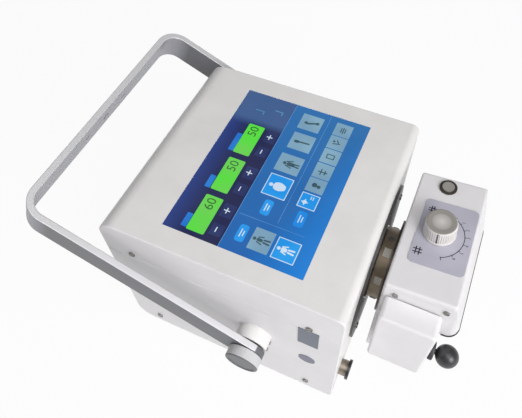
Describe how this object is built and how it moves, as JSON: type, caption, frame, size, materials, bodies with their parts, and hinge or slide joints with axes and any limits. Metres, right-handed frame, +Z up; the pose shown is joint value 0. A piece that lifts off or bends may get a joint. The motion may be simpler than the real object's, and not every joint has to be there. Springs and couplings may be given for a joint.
{
  "type": "portable x-ray machine",
  "caption": "Portable x-ray generator case with a touch screen on top, a flat bar carrying handle on two pivots, and a swivelling box collimator on its front.",
  "frame": {"origin": "on the ground below the middle of the generator case, at the centre of the four foot bolts", "axes": "+Z up, +X along the x-ray beam from the case to the collimator, +Y to the far side of the case"},
  "size_m": [0.4833, 0.3376, 0.2626],
  "materials": {
    "case_white": "satin",
    "handle_grey": "satin",
    "dark_flange": "satin",
    "ring_metal": "brushed",
    "screws": "satin",
    "bright_metal": "polished",
    "screen": "gloss",
    "window": "gloss",
    "black_rubber": "matte",
    "black_plastic": "gloss",
    "dark_plastic": "matte",
    "pale_plastic": "satin",
    "plate_lilac": "satin",
    "board_green": "satin",
    "sheet_steel": "satin",
    "sink_metal": "satin",
    "leaf_metal": "matte",
    "mirror": "polished",
    "tube_glass": "gloss"
  },
  "bodies": {
    "case": {"case_wrap": "case_white", "side_panel_near": "case_white", "side_panel_far": "case_white", "side_screws": "screws", "corner_posts": "sheet_steel", "feet": "black_rubber", "screen_glass": "screen", "screen_gasket": "black_rubber", "display_module": "dark_plastic", "control_board": "board_green", "board_posts": "screws", "chassis_tray": "sheet_steel", "tank_cradles": "sheet_steel", "tube_tank": "sink_metal", "beam_nozzle": "dark_plastic", "x_ray_tube": "tube_glass", "tube_supports": "dark_plastic", "hv_transformer": "leaf_metal", "inverter_board": "board_green", "heat_sink": "sink_metal", "capacitors": "black_plastic", "power_supply": "dark_plastic", "fan_frame": "dark_plastic", "power_inlet": "dark_plastic", "switch_frame": "dark_plastic", "hand_switch_socket": "ring_metal", "socket_cap": "dark_plastic", "blank_plates": "plate_lilac", "front_flange": "dark_flange", "small_screws": "screws", "swivel_ring": "ring_metal", "pivot_bosses": "case_white", "pivot_bolts": "screws", "friction_washers": "black_rubber"},
    "handle": {"handle_bail": "handle_grey"},
    "near_clamp": {"clamp_knob_near": "dark_plastic"},
    "far_clamp": {"clamp_knob_far": "dark_plastic"},
    "fan": {"fan_rotor": "dark_plastic"},
    "power_rocker": {"switch_rocker": "black_plastic"},
    "collimator": {"swivel_flange": "ring_metal", "collimator_housing": "case_white", "beam_window": "window", "accessory_rails": "bright_metal", "collimator_sleeve": "case_white", "cover_screws": "screws", "collimator_lid": "case_white", "scale_plate": "plate_lilac", "lamp_button_bezel": "dark_plastic", "lamp_switch": "dark_plastic", "leaf_guide": "sheet_steel", "mirror": "mirror", "lamp": "sheet_steel"},
    "aperture_dial": {"aperture_knob": "pale_plastic", "knob_shaft": "screws"},
    "lamp_push": {"lamp_button": "bright_metal"},
    "near_shutter": {"side_leaf_near": "leaf_metal"},
    "far_shutter": {"side_leaf_far": "leaf_metal"},
    "low_shutter": {"lower_leaf": "leaf_metal"},
    "high_shutter": {"upper_leaf": "leaf_metal"},
    "accessory_lock": {"lock_knob": "black_plastic"}
  },
  "joints": [
    {"name": "handle_pivot", "type": "hinge", "parent": "case", "child": "handle", "pos_m": [0.041, 0, 0.121], "axis": [0, 1, 0], "range_deg": [-34, 160]},
    {"name": "near_clamp_turn", "type": "hinge", "parent": "case", "child": "near_clamp", "pos_m": [0.041, -0.1623, 0.121], "axis": [0, -1, 0], "range_deg": [0, 330]},
    {"name": "far_clamp_turn", "type": "hinge", "parent": "case", "child": "far_clamp", "pos_m": [0.041, 0.1623, 0.121], "axis": [0, 1, 0], "range_deg": [0, 330]},
    {"name": "fan_spin", "type": "hinge", "parent": "case", "child": "fan", "pos_m": [-0.13, 0.062, 0.15], "axis": [1, 0, 0], "continuous": true},
    {"name": "power_switch", "type": "hinge", "parent": "case", "child": "power_rocker", "pos_m": [-0.1355, -0.038, 0.052], "axis": [0, 1, 0], "range_deg": [-14, 0]},
    {"name": "collimator_swivel", "type": "hinge", "parent": "case", "child": "collimator", "pos_m": [0.1548, 0, 0.141], "axis": [1, 0, 0], "range_deg": [-90, 90]},
    {"name": "aperture_turn", "type": "hinge", "parent": "collimator", "child": "aperture_dial", "pos_m": [0.19417, 0.0015, 0.24009], "axis": [-0.0872, 0, 0.9962], "range_deg": [0, 140]},
    {"name": "lamp_press", "type": "slide", "parent": "collimator", "child": "lamp_push", "axis": [0.0872, 0, -0.9962], "range_m": [0, 0.0018], "stiffness_N_per_m": 400, "springref_m": -0.001},
    {"name": "near_shutter_slide", "type": "slide", "parent": "collimator", "child": "near_shutter", "axis": [0, -1, 0], "range_m": [0, 0.02]},
    {"name": "far_shutter_slide", "type": "slide", "parent": "collimator", "child": "far_shutter", "axis": [0, 1, 0], "range_m": [0, 0.02]},
    {"name": "low_shutter_slide", "type": "slide", "parent": "collimator", "child": "low_shutter", "axis": [0, 0, -1], "range_m": [0, 0.02]},
    {"name": "high_shutter_slide", "type": "slide", "parent": "collimator", "child": "high_shutter", "axis": [0, 0, 1], "range_m": [0, 0.02]},
    {"name": "accessory_lock_turn", "type": "hinge", "parent": "collimator", "child": "accessory_lock", "pos_m": [0.2288, -0.088, 0.163], "axis": [1, 0, 0], "range_deg": [0, 90]}
  ],
  "couplings": [
    {"joint": "near_shutter_slide", "follows": "aperture_turn", "m_per_rad": 0.008185},
    {"joint": "far_shutter_slide", "follows": "aperture_turn", "m_per_rad": 0.008185},
    {"joint": "low_shutter_slide", "follows": "aperture_turn", "m_per_rad": 0.008185},
    {"joint": "high_shutter_slide", "follows": "aperture_turn", "m_per_rad": 0.008185}
  ]
}
